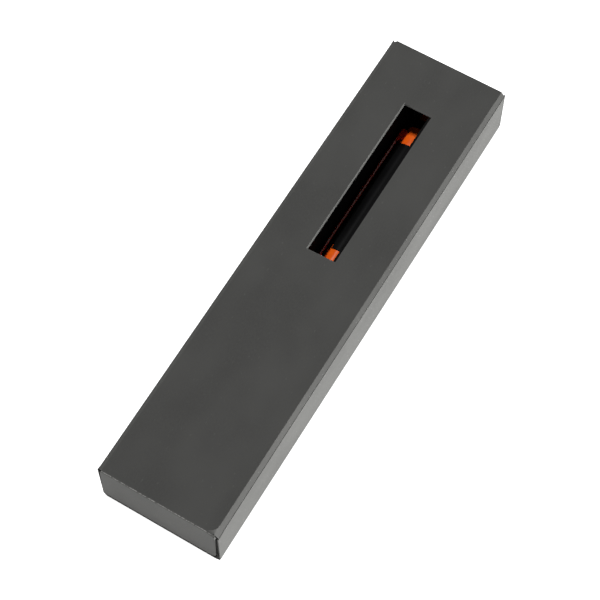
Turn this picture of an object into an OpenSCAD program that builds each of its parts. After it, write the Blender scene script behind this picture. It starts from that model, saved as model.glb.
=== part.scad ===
// Pen case: a folded board carton with a window, tuck flaps at both ends and
// a folded tray that holds a push-button pen. X runs across the carton, Y along
// it with the front end at -Y, and Z up from the face that it rests on.

/* [Carton] */
// Outside length of the carton, end to end
carton_length = 173; // [165:1:220]
// Outside width of the carton
carton_width = 41; // [37:0.5:60]
// Outside height of the carton
carton_height = 20; // [17:0.5:30]
// Thickness of the carton board
board = 0.6; // [0.4:0.05:0.8]
// Width of the sloping fold along the long edges
edge_fold_run = 1.45; // [0.8:0.05:2]
// Drop of the sloping fold along the long edges
edge_fold_drop = 0.7; // [0.3:0.05:1]

/* [Window] */
// Length of the window cut in the top panel
window_length = 60; // [30:1:90]
// Width of the window
window_width = 10; // [6:0.5:14]
// Board left between the window and the rear end
window_rear_margin = 20; // [14:1:40]
// Distance of the window from the middle of the panel, to the right
window_offset = -0.5; // [-3:0.1:3]

/* [Flaps] */
// Gap between an end flap and each side panel
flap_side_gap = 0.35; // [0.2:0.05:1]
// Corner radius at the foot of an end flap
flap_corner = 1.5; // [1:0.1:3]
// Gap between a tuck tongue and the bottom panel at its crease
tuck_gap = 0.3; // [0.2:0.05:0.8]
// Length of a tuck tongue, from its crease to its free edge
tongue_length = 10; // [7:0.5:13]
// Distance by which a tongue is narrower than its end flap, each side
tongue_inset = 1.15; // [0.8:0.05:4]
// Corner radius of a tongue's free edge
tongue_corner = 5; // [2:0.5:6]
// Upward spring of a tongue at rest, in degrees
tongue_tilt = 6; // [5:1:9]
// Gap between an end flap and the dust flaps behind it
dust_gap = 0.15; // [0.1:0.05:0.5]
// Length of a dust flap, from its crease to its free edge
dust_reach = 15; // [9:0.5:16]
// Slope of a dust flap's upper edge, in degrees
dust_top_slope = 17; // [16:1:25]
// Slope of a dust flap's lower edge, in degrees
dust_low_slope = 10; // [8:1:15]
// Width of the glue flap inside the right side panel
glue_flap_width = 12; // [8:0.5:13]
// Clear gap at each crease between the two panels that it joins
crease_gap = 0.06; // [0.04:0.01:0.1]

/* [Tray] */
// Thickness of the tray's card
tray_card = 0.5; // [0.3:0.05:0.8]
// Gap between the tray and the carton's panels
tray_gap = 0.2; // [0.1:0.05:0.5]
// Gap between the tray's ends and the tuck tongues
tray_end_gap = 0.9; // [0.5:0.1:3]
// Room beside the pen in the tray's trough
pen_room = 0.5; // [0.2:0.1:2]
// Room beside the clip in the tray's trough
clip_room = 0.6; // [0.6:0.1:2]
// Distance by which the trough's right wall leans in at its top
trough_lean = 1.4; // [0:0.1:1.6]

/* [Pen] */
// Room between the pen's tip and the carton's front end
pen_front_room = 18.5; // [17:0.5:24]
// Room between the pen's button and the carton's rear end
pen_rear_room = 10; // [9:0.5:14]
// Outside radius of the pen's barrel
pen_radius = 4; // [3.8:0.1:4.4]
// Radius of the coloured band and collar
band_radius = 3.75; // [3.65:0.05:3.8]
// Wall of the barrel
barrel_wall = 0.8; // [0.7:0.05:0.85]
// Length of the nose cone
nose_length = 18; // [17:0.5:24]
// Length of the coloured centre band
band_length = 6; // [4:0.5:8]
// Length of the upper barrel
upper_length = 44.2; // [40:0.1:48]
// Length of the coloured top collar
collar_length = 7.3; // [6.5:0.1:9]
// Length of the end cap
cap_length = 3.5; // [3:0.1:5]
// Radius of the push button
button_radius = 2.6; // [2.4:0.05:2.65]
// Length of the push button that stands out of the end cap
button_reach = 6; // [5:0.5:7]
// Travel of the push button
button_travel = 4; // [3:0.5:4]

/* [Clip] */
// Angle of the clip above the horizontal, in degrees
clip_angle = 25; // [10:1:40]
// Width of the clip
clip_width = 2.6; // [2:0.1:3.2]
// Thickness of the clip's arm
clip_thickness = 0.7; // [0.5:0.05:1]
// Gap between the clip's arm and the barrel
clip_gap = 0.9; // [0.6:0.05:1.2]
// Length of the clip's arm in front of the top collar
clip_length = 50.5; // [40:0.5:56]

/* [Hidden] */
$fn = 64;

// Colours of the board, the card and the pen
board_colour = "#4c4c4b";
tray_colour = "#1d1d1e";
barrel_colour = "#18181a";
orange_colour = "#ee7722";
white_colour = "#e6e6e2";
brass_colour = "#b59a55";
steel_colour = "#b8babd";

// The sloping folds: outer and inner corners of the section, and the side panels' height
half_width = carton_width / 2;
half_length = carton_length / 2;
fold_slope = atan(edge_fold_drop / edge_fold_run);
fold_in_x = half_width - edge_fold_run - board * tan(fold_slope / 2);
fold_depth = edge_fold_drop + board * tan(45 - fold_slope / 2);
wall_low = fold_depth;
wall_high = carton_height - fold_depth;

// Window edges along Y
window_rear = half_length - window_rear_margin;
window_front = window_rear - window_length;

// End flap, tongue and dust flap places, measured inwards from the carton's end
bead = board / 2;
flap_half = half_width - board - flap_side_gap;
flap_low = board + tuck_gap;
flap_top_half = min(flap_half, half_width - edge_fold_run);
flap_shoulder = fold_depth;
panel_start = board + crease_gap;
bottom_start = crease_gap;
tongue_half = flap_half - tongue_inset;
tongue_top = flap_low + board;
dust_set = board + dust_gap;
wall_start = dust_set + board + crease_gap;
dust_edge_gap = 0.15;
dust_high = wall_high - dust_edge_gap;
dust_low = wall_low + dust_edge_gap;
dust_clear_low = tongue_top + 1.2;
dust_shoulder = half_width - tongue_half;
glue_set = 4;
glue_slope_run = 3;

// Tray section
tray_half_length = half_length - board - tongue_length - tray_end_gap;
tray_half_width = min(half_width - 2 * board, fold_in_x) - tray_gap;
deck_high = carton_height - board - tray_gap;
deck_low = deck_high - tray_card;
tray_floor = board + tray_card;
clip_outer = pen_radius + clip_gap + clip_thickness;
clip_side = clip_outer * cos(clip_angle) + clip_width / 2 * sin(clip_angle);
trough_width = pen_room + pen_radius + clip_side + clip_room;
trough_left = window_offset - trough_width / 2;
trough_right = window_offset + trough_width / 2;

// Pen stations, measured along the pen from the tip of the nose cone. The grip takes up the length
pen_length = carton_length - pen_front_room - pen_rear_room;
pen_tip = pen_front_room - half_length;
cap_end = pen_length - button_reach;
cap_start = cap_end - cap_length;
collar_start = cap_start - collar_length;
upper_start = collar_start - upper_length;
band_start = upper_start - band_length;
grip_start = nose_length;
pen_rest_gap = 0.15;
pen_x = trough_right - pen_room - pen_radius;
pen_z = tray_floor + pen_rest_gap + pen_radius;

// Fits and bores of the pen
edge_break = 0.2;
spigot_fit = 0.05;
running_fit = 0.06;
spigot_length = 4;
barrel_bore = pen_radius - barrel_wall;
spigot_radius = barrel_bore - spigot_fit;
band_bore = 2.2;
button_bore = button_radius + running_fit;

// Nose cone
nose_tip_radius = 1.3;
nose_steps = 9;
nose_power = 0.75;
tip_radius = 0.6;
tip_bore = tip_radius + 0.15;
tip_land = 3.5;
neck_radius = 1.15;
neck_bore = neck_radius + 0.2;
spring_seat = 8;
spring_bore = 2.15;

// Grip grooves
groove_count = 7;
groove_pitch = 3;
groove_width = 1;
groove_depth = 0.3;
groove_first = 5;

// Keyed joint between the centre band and the upper barrel
key_width = 0.8;
key_length = 2;
key_fit = 0.04;
key_angle = 42;

// Refill, rotor and spring
tip_set_back = 1.2;
ball_radius = 0.3;
tip_cone = 1.4;
neck_start = tip_land + button_travel + 0.3;
refill_shoulder = 20;
refill_tip_end = 12;
refill_radius = 1.5;
spring_gap = 0.1;
spring_wire = 0.25;
spring_radius = 1.6;
spring_turns = 7;
spring_steps = 16;
spring_sides = 6;

// Push button and rotor
flange_radius = barrel_bore - 0.15;
flange_length = 2.2;
flange_end = collar_start - spigot_length - 0.1;
flange_start = flange_end - flange_length;
cam_length = 3.4;
cam_start = flange_start - cam_length;
cam_step = 1;
cam_gap = 0.1;
cam_teeth = 4;
rotor_radius = flange_radius - 0.1;
rotor_length = 6;
rotor_start = cam_start - cam_gap - rotor_length;
button_dome = 1;

// Clip
clip_foot_length = 3.9;
clip_foot_start = collar_start + 1.5;
clip_foot_low = band_radius - 0.55;
clip_fit = 0.12;
clip_arm_low = pen_radius + clip_gap;
clip_end = collar_start - clip_length;
clip_pad_length = 3;
clip_pad_gap = 0.25;
clip_turn = 0.5;

// Shapes that repeat

// A flat outline in X and Z, pulled along Y about the middle
module along_y(length) {
    rotate([90, 0, 0]) linear_extrude(length, center = true) children();
}

// The frame of the carton's front end: X across, Y inwards from the end, Z up
module at_front() {
    translate([0, -half_length, 0]) children();
}

// The frame of the pen: Z along the pen from its tip, X across the carton
module on_pen() {
    translate([pen_x, pen_tip, pen_z]) rotate([-90, 0, 0]) children();
}

// The frame of the clip: X out from the pen's axis, Z along the pen
module on_clip() {
    on_pen() rotate([0, 0, 180 + clip_angle]) children();
}

// A turned piece, from points that give radius and station
module turned(points) {
    rotate_extrude() polygon(points);
}

// Points of an arc about a centre, from one angle to another
function arc(centre, radius, from, to, steps = 6) = [
    for (i = [0:steps])
        let (a = from + (to - from) * i / steps)
        centre + radius * [cos(a), sin(a)]
];

// Section of a long panel, as the bottom one lies: sloping folds at both long edges, flat in between
function panel_section() = [
    [-half_width, fold_depth],
    [-half_width, edge_fold_drop],
    [edge_fold_run - half_width, 0],
    [half_width - edge_fold_run, 0],
    [half_width, edge_fold_drop],
    [half_width, fold_depth],
    [half_width - board, fold_depth],
    [fold_in_x, board],
    [-fold_in_x, board],
    [board - half_width, fold_depth],
];

module long_panel(start) {
    along_y(carton_length - 2 * start) polygon(panel_section());
}

module side_panel() {
    translate([half_width - board, wall_start - half_length, wall_low])
        cube([board, carton_length - 2 * wall_start, wall_high - wall_low]);
}

// An end flap with the round bead of its crease and the round fold at its foot
module end_flap() {
    top = carton_height - bead;
    foot = flap_low + bead;
    outline = concat(
        [[flap_top_half, top], [-flap_top_half, top], [-flap_half, carton_height - flap_shoulder]],
        arc([flap_corner - flap_half, foot + flap_corner], flap_corner, 180, 270),
        arc([flap_half - flap_corner, foot + flap_corner], flap_corner, 270, 360),
        [[flap_half, carton_height - flap_shoulder]]
    );
    at_front() {
        translate([0, bead, 0]) along_y(board) polygon(outline);
        translate([0, bead, top]) rotate([0, 90, 0])
            cylinder(r = bead, h = 2 * flap_top_half, center = true);
        translate([0, bead, foot]) rotate([0, 90, 0])
            cylinder(r = bead, h = 2 * (flap_half - flap_corner), center = true);
    }
}

// A tuck tongue, turned up a little about its crease
module tuck_tongue() {
    outline = concat(
        [[-tongue_half, crease_gap], [tongue_half, crease_gap]],
        arc([tongue_half - tongue_corner, tongue_length - tongue_corner], tongue_corner, 0, 90),
        arc([tongue_corner - tongue_half, tongue_length - tongue_corner], tongue_corner, 90, 180)
    );
    at_front() translate([0, board, tongue_top]) rotate([tongue_tilt, 0, 0])
        translate([0, 0, -board]) linear_extrude(board) polygon(outline);
}

// A dust flap on the right, with the round bead of its crease
module dust_flap() {
    outline = [
        [0, dust_low],
        [0, dust_high],
        [-dust_reach, dust_high - dust_reach * tan(dust_top_slope)],
        [-dust_reach, dust_clear_low + dust_reach * tan(dust_low_slope)],
        [-dust_shoulder, dust_clear_low],
    ];
    at_front() translate([half_width - bead, dust_set + bead, 0]) {
        along_y(board) polygon(outline);
        translate([0, 0, dust_low]) cylinder(r = bead, h = dust_high - dust_low);
    }
}

// A barrel: a tube with broken outer edges and a list of extra points on its outside
module barrel(start, end, outside = []) {
    turned(concat(
        [
            [barrel_bore, start],
            [pen_radius - edge_break, start],
            [pen_radius, start + edge_break],
        ],
        outside,
        [
            [pen_radius, end - edge_break],
            [pen_radius - edge_break, end],
            [barrel_bore, end],
        ]
    ));
}

// The key of the centre band, and with a fit the notch that takes it
module band_key(fit = 0) {
    width = key_width + 2 * fit;
    rotate([0, 0, 270 - key_angle])
        translate([spigot_radius - edge_break, -width / 2, upper_start - edge_break])
        cube([pen_radius, width, key_length + edge_break + fit]);
}

// The carton

module top_panel() {
    color(board_colour) difference() {
        translate([0, 0, carton_height]) mirror([0, 0, 1]) long_panel(panel_start);
        translate([window_offset - window_width / 2, window_front, carton_height - 2 * board])
            cube([window_width, window_length, 3 * board]);
    }
}

module bottom_panel() {
    color(board_colour) long_panel(bottom_start);
}

module left_side_panel() {
    color(board_colour) mirror([1, 0, 0]) side_panel();
}

module right_side_panel() {
    color(board_colour) side_panel();
}

module glue_flap() {
    low = wall_high - glue_flap_width;
    start = glue_set - half_length;
    color(board_colour) translate([half_width - 2 * board, 0, 0])
        rotate([90, 0, 90]) linear_extrude(board) polygon([
            [start, wall_high],
            [start + glue_slope_run, low],
            [-start - glue_slope_run, low],
            [-start, wall_high],
        ]);
}

module front_end_flap() {
    color(board_colour) end_flap();
}

module front_tuck_tongue() {
    color(board_colour) tuck_tongue();
}

module front_left_dust_flap() {
    color(board_colour) mirror([1, 0, 0]) dust_flap();
}

module front_right_dust_flap() {
    color(board_colour) dust_flap();
}

module rear_end_flap() {
    color(board_colour) mirror([0, 1, 0]) end_flap();
}

module rear_tuck_tongue() {
    color(board_colour) mirror([0, 1, 0]) tuck_tongue();
}

module rear_left_dust_flap() {
    color(board_colour) mirror([0, 1, 0]) mirror([1, 0, 0]) dust_flap();
}

module rear_right_dust_flap() {
    color(board_colour) mirror([0, 1, 0]) dust_flap();
}

// The tray: one card, folded down at its sides and into a trough under the window
module pen_tray() {
    section = [
        [-tray_half_width, board],
        [-tray_half_width, deck_high],
        [trough_left, deck_high],
        [trough_left, tray_floor],
        [trough_right, tray_floor],
        [trough_right - trough_lean, deck_high],
        [tray_half_width, deck_high],
        [tray_half_width, board],
        [tray_half_width - tray_card, board],
        [tray_half_width - tray_card, deck_low],
        [trough_right + tray_card - trough_lean, deck_low],
        [trough_right + tray_card, board],
        [trough_left - tray_card, board],
        [trough_left - tray_card, deck_low],
        [tray_card - tray_half_width, deck_low],
        [tray_card - tray_half_width, board],
    ];
    color(tray_colour) along_y(2 * tray_half_length) polygon(section);
}

// The pen

function nose_radius(share) =
    nose_tip_radius + (pen_radius - nose_tip_radius) * pow(share, nose_power);

module pen_nose_cone() {
    end = nose_length + spigot_length;
    outside = [
        for (i = [0:nose_steps])
            [nose_radius(i / nose_steps), nose_length * i / nose_steps]
    ];
    color(orange_colour) on_pen() turned(concat(outside, [
        [spigot_radius, nose_length],
        [spigot_radius, end],
        [spring_bore, end],
        [spring_bore, spring_seat],
        [neck_bore, spring_seat],
        [neck_bore, tip_land],
        [tip_bore, tip_land],
        [tip_bore, 0],
    ]));
}

module pen_grip_barrel() {
    grooves = [
        for (i = [0:groove_count - 1])
            let (s = grip_start + groove_first + i * groove_pitch)
            for (p = [[0, 0], [groove_depth, 0.25], [groove_depth, 0.75], [0, 1]])
                [pen_radius - p[0], s + groove_width * p[1]]
    ];
    color(barrel_colour) on_pen() barrel(grip_start, band_start, grooves);
}

module pen_centre_band() {
    color(orange_colour) on_pen() {
        turned([
            [band_bore, band_start - spigot_length],
            [spigot_radius, band_start - spigot_length],
            [spigot_radius, band_start],
            [band_radius, band_start],
            [band_radius, upper_start],
            [spigot_radius, upper_start],
            [spigot_radius, upper_start + spigot_length],
            [band_bore, upper_start + spigot_length],
        ]);
        intersection() {
            band_key();
            cylinder(r = band_radius, h = collar_start);
        }
    }
}

module pen_upper_barrel() {
    color(barrel_colour) on_pen() difference() {
        barrel(upper_start, collar_start);
        band_key(key_fit);
    }
}

module pen_top_collar() {
    stub_end = cap_start + cap_length / 2;
    slot_width = clip_width + 2 * clip_fit;
    color(orange_colour) difference() {
        on_pen() turned([
            [button_bore, collar_start - spigot_length],
            [spigot_radius, collar_start - spigot_length],
            [spigot_radius, collar_start],
            [band_radius, collar_start],
            [band_radius, cap_start],
            [spigot_radius, cap_start],
            [spigot_radius, stub_end],
            [button_bore, stub_end],
        ]);
        on_clip()
            translate([clip_foot_low - clip_fit, -slot_width / 2, clip_foot_start - clip_fit])
            cube([pen_radius, slot_width, clip_foot_length + 2 * clip_fit]);
    }
}

module pen_end_cap() {
    stub_end = cap_start + cap_length / 2;
    color(barrel_colour) on_pen() turned([
        [barrel_bore, cap_start],
        [pen_radius - edge_break, cap_start],
        [pen_radius, cap_start + edge_break],
        [pen_radius, cap_end - 2 * edge_break],
        [pen_radius - 2 * edge_break, cap_end],
        [button_bore, cap_end],
        [button_bore, stub_end],
        [barrel_bore, stub_end],
    ]);
}

// The clip: a foot in the collar's slot, a long flat arm and a pad at its free end
module pen_clip() {
    foot_end = clip_foot_start + clip_foot_length;
    pad_low = band_radius + clip_pad_gap;
    color(orange_colour) on_clip() rotate([90, 0, 0])
        linear_extrude(clip_width, center = true) polygon([
            [clip_foot_low, clip_foot_start],
            [clip_arm_low, clip_foot_start],
            [clip_arm_low, clip_end + clip_pad_length],
            [pad_low, clip_end + clip_pad_length * 3 / 4],
            [pad_low, clip_end + clip_pad_length / 4],
            [clip_arm_low, clip_end],
            [clip_outer - clip_turn, clip_end],
            [clip_outer, clip_end + clip_turn],
            [clip_outer, foot_end - clip_turn],
            [clip_outer - clip_turn, foot_end],
            [clip_foot_low, foot_end],
        ]);
}

// Teeth on a turned end: square blocks about the axis, from one station to another
module cam_blocks(start, end, turn) {
    for (i = [0:cam_teeth - 1])
        rotate([0, 0, turn + i * 360 / cam_teeth]) intersection() {
            translate([0, -button_radius / 2, start])
                cube([button_radius, button_radius, end - start]);
            cylinder(r = button_radius, h = pen_length);
        }
}

module pen_push_button() {
    color(orange_colour) on_pen() {
        turned([
            [0, cam_start + cam_step],
            [button_radius, cam_start + cam_step],
            [button_radius, flange_start],
            [flange_radius, flange_start],
            [flange_radius, flange_end],
            [button_radius, flange_end],
            [button_radius, pen_length - button_dome],
            [button_radius - button_dome / 3, pen_length - button_dome / 3],
            [button_radius - button_dome, pen_length],
            [0, pen_length],
        ]);
        cam_blocks(cam_start, cam_start + cam_step, 0);
    }
}

module pen_cam_rotor() {
    top = rotor_start + rotor_length;
    color(white_colour) on_pen() turned([
        [0, rotor_start],
        [refill_radius, rotor_start],
        [rotor_radius, rotor_start + cam_step],
        [rotor_radius, top - cam_step],
        [button_radius, top],
        [0, top],
    ]);
}

module pen_refill_tube() {
    color(white_colour) on_pen() turned([
        [0, refill_tip_end],
        [neck_radius, refill_tip_end],
        [neck_radius, refill_shoulder],
        [refill_radius, refill_shoulder],
        [refill_radius, rotor_start],
        [0, rotor_start],
    ]);
}

module pen_refill_tip() {
    color(brass_colour) on_pen() turned([
        [0, tip_set_back],
        [ball_radius, tip_set_back],
        [tip_radius, tip_set_back + tip_cone],
        [tip_radius, neck_start],
        [neck_radius, neck_start],
        [neck_radius, refill_tip_end],
        [0, refill_tip_end],
    ]);
}

// The return spring: a round wire swept along a helix
module pen_return_spring() {
    low = spring_seat + spring_gap + spring_wire;
    high = refill_shoulder - spring_gap - spring_wire;
    rings = spring_turns * spring_steps;
    points = [
        for (i = [0:rings])
            let (turn = 360 * i / spring_steps, station = low + (high - low) * i / rings)
            for (j = [0:spring_sides - 1])
                let (
                    a = 360 * j / spring_sides,
                    r = spring_radius + spring_wire * cos(a)
                )
                [r * cos(turn), r * sin(turn), station + spring_wire * sin(a)]
    ];
    sides = [
        for (i = [0:rings - 1])
            for (j = [0:spring_sides - 1])
                let (
                    here = i * spring_sides,
                    next = here + spring_sides,
                    k = (j + 1) % spring_sides
                )
                for (face = [[here + j, next + j, next + k], [here + j, next + k, here + k]])
                    face
    ];
    start_face = [for (j = [0:spring_sides - 1]) j];
    end_face = [for (j = [spring_sides - 1:-1:0]) rings * spring_sides + j];
    color(steel_colour) on_pen() polyhedron(points, concat(sides, [start_face, end_face]));
}

top_panel();
bottom_panel();
left_side_panel();
right_side_panel();
glue_flap();
front_end_flap();
front_tuck_tongue();
front_left_dust_flap();
front_right_dust_flap();
rear_end_flap();
rear_tuck_tongue();
rear_left_dust_flap();
rear_right_dust_flap();
pen_tray();
pen_nose_cone();
pen_grip_barrel();
pen_centre_band();
pen_upper_barrel();
pen_top_collar();
pen_end_cap();
pen_clip();
pen_push_button();
pen_cam_rotor();
pen_refill_tube();
pen_refill_tip();
pen_return_spring();
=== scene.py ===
import math
from types import SimpleNamespace

import bmesh
import bpy
from bpy.props import FloatProperty, FloatVectorProperty, IntProperty, PointerProperty
from mathutils import Matrix, Vector


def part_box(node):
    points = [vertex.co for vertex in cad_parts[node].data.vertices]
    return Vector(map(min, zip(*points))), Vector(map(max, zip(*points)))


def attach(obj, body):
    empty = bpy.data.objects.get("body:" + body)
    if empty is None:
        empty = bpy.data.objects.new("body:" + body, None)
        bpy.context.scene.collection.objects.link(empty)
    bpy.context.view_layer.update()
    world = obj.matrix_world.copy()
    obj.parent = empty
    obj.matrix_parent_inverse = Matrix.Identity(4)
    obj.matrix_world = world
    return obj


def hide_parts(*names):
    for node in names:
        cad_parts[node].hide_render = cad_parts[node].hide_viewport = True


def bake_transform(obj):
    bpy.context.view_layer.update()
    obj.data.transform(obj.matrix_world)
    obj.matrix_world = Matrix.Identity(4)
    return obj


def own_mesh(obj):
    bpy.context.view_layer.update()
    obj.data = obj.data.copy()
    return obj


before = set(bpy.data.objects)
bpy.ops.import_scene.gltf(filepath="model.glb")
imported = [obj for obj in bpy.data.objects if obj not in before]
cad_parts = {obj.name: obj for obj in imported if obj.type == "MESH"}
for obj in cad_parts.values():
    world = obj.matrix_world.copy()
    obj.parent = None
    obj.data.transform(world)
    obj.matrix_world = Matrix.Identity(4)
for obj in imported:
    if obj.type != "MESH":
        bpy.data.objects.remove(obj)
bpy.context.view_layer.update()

bl_info = {
    "name": "Pen Carton",
    "version": (1, 0, 0),
    "blender": (4, 5, 0),
    "location": "View3D > Sidebar > Pen Carton",
    "description": "Folds a windowed pen carton with its tray and pen around the packed frame",
    "category": "Object",
}

MM = 0.001
NEAR = 0.001 * MM
SHARP = math.radians(60)
TURNED_SHARP = math.radians(40)
SMOOTH = 35
TOP_SMOOTH = 21
FOOT_WEAR = 0.5
SOFT_SEGMENTS = 2
FOLD_SEGMENTS = 4
CORNER_SEGMENTS = 8
TOP_CORNER_SEGMENTS = 10
ROLL_STEPS = 6
CURVE_STEPS = 8
NOSE_STEPS = 16
WIRE_SIDES = 12
COIL_STEPS = 24
FACE_FRONT = (math.pi / 2, 0, 0)
FACE_RIGHT = (0, math.pi / 2, 0)
FACE_LEFT = (0, -math.pi / 2, 0)
AXES = {"x": Vector((1, 0, 0)), "y": Vector((0, 1, 0)), "z": Vector((0, 0, 1))}

TOP_LOW, TOP_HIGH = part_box("top_panel")
WALL_LOW, WALL_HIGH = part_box("right_side_panel")
TRAY_LOW, TRAY_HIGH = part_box("pen_tray")
BARREL_LOW, BARREL_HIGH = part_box("pen_upper_barrel")
BARREL_RADIUS = (BARREL_HIGH.x - BARREL_LOW.x) / 2


# Settings

def distance(name, text, default_mm):
    """A length in millimetres, kept in Blender's metres."""
    return FloatProperty(name=name, description=text, default=default_mm * MM, unit="LENGTH", precision=5)


def angle(name, text, default_degrees):
    default = math.radians(default_degrees)
    return FloatProperty(name=name, description=text, default=default, unit="ROTATION")


def colour(name, text, default):
    return FloatVectorProperty(name=name, description=text, default=default, subtype="COLOR", min=0, max=1)


def strength(name, text, default):
    return FloatProperty(name=name, description=text, default=default, min=0)


def light_power(name, text, default):
    return FloatProperty(name=name, description=text, default=default, unit="POWER")


def camera_length(name, text, default):
    return FloatProperty(name=name, description=text, default=default, unit="CAMERA")


def count(name, text, default, least=1):
    return IntProperty(name=name, description=text, default=default, min=least)


def point(name, text, default_mm):
    default = tuple(value * MM for value in default_mm)
    return FloatVectorProperty(name=name, description=text, default=default, subtype="XYZ", unit="LENGTH")


class BoardSizes(bpy.types.PropertyGroup):
    """Sizes of the folded carton"""

    thickness: distance("Board", "Thickness of the carton board", (WALL_HIGH.x - WALL_LOW.x) / MM)
    fold_run: distance("Fold run", "Width of the sloping fold along the long edges", 1.45)
    fold_drop: distance("Fold drop", "Drop of the sloping fold along the long edges", 0.8)
    fold_roll: distance("Fold roll", "Width of the soft roll where a sloping fold starts", 0.12)
    fold_lip: distance("Fold lip", "Upright lip under a sloping fold", 0.08)
    groove: distance("Groove", "Gap of the scored line under a sloping fold", 0.2)
    ledge: distance("Ledge", "Distance by which a sloping fold ends short of the side panel's face", 0.13)
    cut_break: distance("Cut break", "Softening of the board's cut edges", 0.06)
    window_length: distance("Window length", "Length of the window", 60)
    window_width: distance("Window width", "Width of the window beside its pressed edge", 9.6)
    window_front: distance("Window front", "Place of the window's front edge", 6.5)
    window_left: distance("Window left", "Place of the window's left edge, where it is pressed down", -5.1)
    press_run: distance("Pressed run", "Width of the strip that the die pressed at the window's left", 0.4)
    press_drop: distance("Pressed drop", "How far that strip is pressed down at the cut", 0.5)
    crease_roll: distance("Crease roll", "Outside radius of the rolled creases at the ends", 0.66)
    flap_shoulder: distance("Flap shoulder", "Height over which an end flap narrows to its crease", 1.08)
    flap_narrow: distance("Flap narrowing", "Distance by which an end flap is narrower at its crease", 0.5)
    flap_corner: distance("Flap corner", "Corner radius at the foot of an end flap", 1.5)
    flap_skew: distance("Flap skew", "Sideways lean of an end flap at its foot", 0.5)
    corner_radius: distance("Corner radius", "Radius of the flat top at its front right corner", 3)
    corner_dip: distance("Corner dip", "Drop of the top panel's front right corner", 0.8)
    sag: distance("Sag", "Extra drop of the right sloping fold at the front end", 0.6)
    sag_reach: distance("Sag reach", "Distance over which that drop fades out", 46)
    top_mitre: distance("Top mitre", "Set-back of the left sloping fold at the top panel's rear end", 0.3)
    bottom_mitre: distance("Bottom mitre", "Set-back of the bottom panel's corners", 0.15)
    tongue_corner: distance("Tongue corner", "Corner radius of a tuck tongue", 5)
    tongue_start: distance("Tongue start", "Flat strip of a tuck tongue above its fold", 0.1)
    tongue_tilt: angle("Tongue tilt", "Upward spring of a tuck tongue", 6)
    dust_fold: distance("Dust flap fold", "Thickness of the pressed fold of a dust flap", 0.4)
    dust_neck: distance("Dust flap neck", "Width of the slit in front of a dust flap's fold", 0.6)
    dust_lead: distance("Dust fold lead", "Lead of the fold of a dust flap in front of the flap", 0.55)
    dust_clear: distance("Dust flap clearance", "Height of a dust flap's lower edge at its shoulder", 2.7)
    dust_shoulder: distance("Dust flap shoulder", "Distance of that shoulder from the carton's side", 2.4)
    dust_top_slope: angle("Dust flap upper slope", "Slope of a dust flap's upper edge", 17)
    dust_low_slope: angle("Dust flap lower slope", "Slope of a dust flap's lower edge", 10)
    glue_slope: distance("Glue flap slope", "Run of the glue flap's sloping ends", 3)


class TraySizes(bpy.types.PropertyGroup):
    """Sizes of the folded tray"""

    card: distance("Card", "Thickness of the tray's card", 0.5)
    trough_left: distance("Trough left", "Place of the trough's left wall", -5.862)
    trough_right: distance("Trough right", "Place of the trough's right wall", 4.862)
    trough_lean: distance("Trough lean", "Lean of the trough's right wall at its top", 1.4)
    floor_lift: distance("Trough floor", "Height of the trough's floor above the tray's foot", 0.5)
    fold_roll: distance("Fold roll", "Width of the soft roll at the tray's folds", 0.4)


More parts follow.
